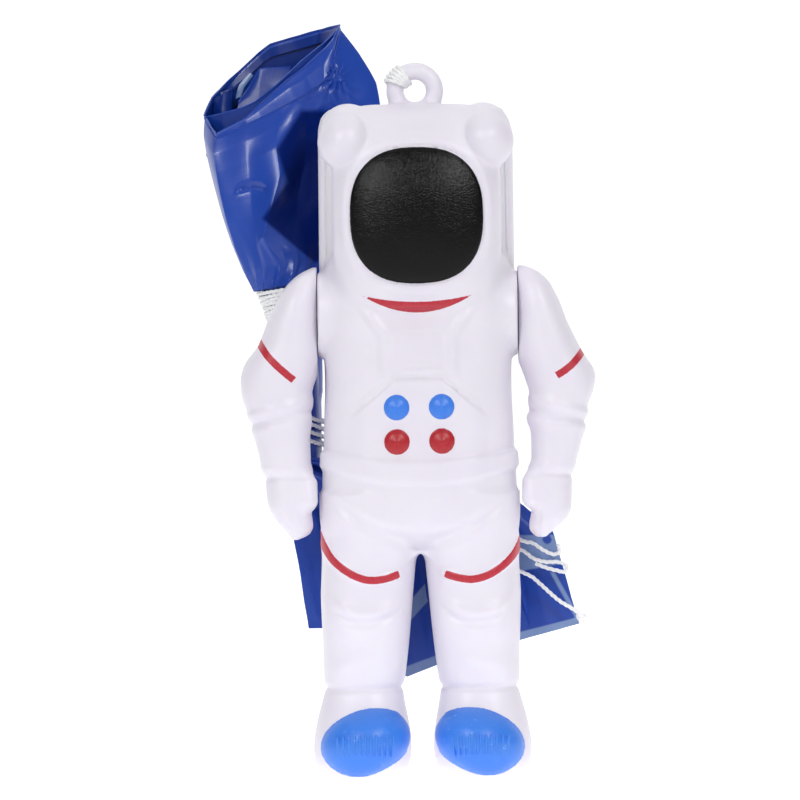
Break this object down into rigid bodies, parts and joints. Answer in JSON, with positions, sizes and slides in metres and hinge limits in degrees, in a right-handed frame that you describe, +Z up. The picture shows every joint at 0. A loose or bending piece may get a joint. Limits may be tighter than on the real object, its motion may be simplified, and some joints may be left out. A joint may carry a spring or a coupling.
{
  "type": "toy parachute figure",
  "caption": "Toy astronaut figure with two turning arms, a hanging ring, and a film parachute rolled up and wound with thread behind it.",
  "frame": {"origin": "on the floor under the soles, at the middle of the outer box", "axes": "-Y is the way the figure faces, +Z is up, +X is towards the figure's left arm"},
  "size_m": [0.0532, 0.0371, 0.1025],
  "materials": {
    "white_plastic": "satin, with painted visor, stripes, buttons and toe caps",
    "blue_film": "glossy thin plastic film",
    "white_thread": "twisted thread"
  },
  "bodies": {
    "figure": {"body_front": "white_plastic", "body_back": "white_plastic", "canopy": "blue_film", "lead_line": "white_thread", "neck_winding": "white_thread", "waist_winding": "white_thread", "loose_line_upper": "white_thread", "loose_line_middle": "white_thread", "loose_line_lower": "white_thread", "corner_knot": "white_thread"},
    "right_arm": {"arm_right": "white_plastic"},
    "left_arm": {"arm_left": "white_plastic"}
  },
  "joints": [
    {"name": "right_shoulder", "type": "hinge", "parent": "figure", "child": "right_arm", "pos_m": [-0.01065, -0.0077, 0.0615], "axis": [-1, 0, 0], "range_deg": [-12, 180]},
    {"name": "left_shoulder", "type": "hinge", "parent": "figure", "child": "left_arm", "pos_m": [0.01635, -0.0077, 0.0615], "axis": [-1, 0, 0], "range_deg": [-12, 180]}
  ]
}
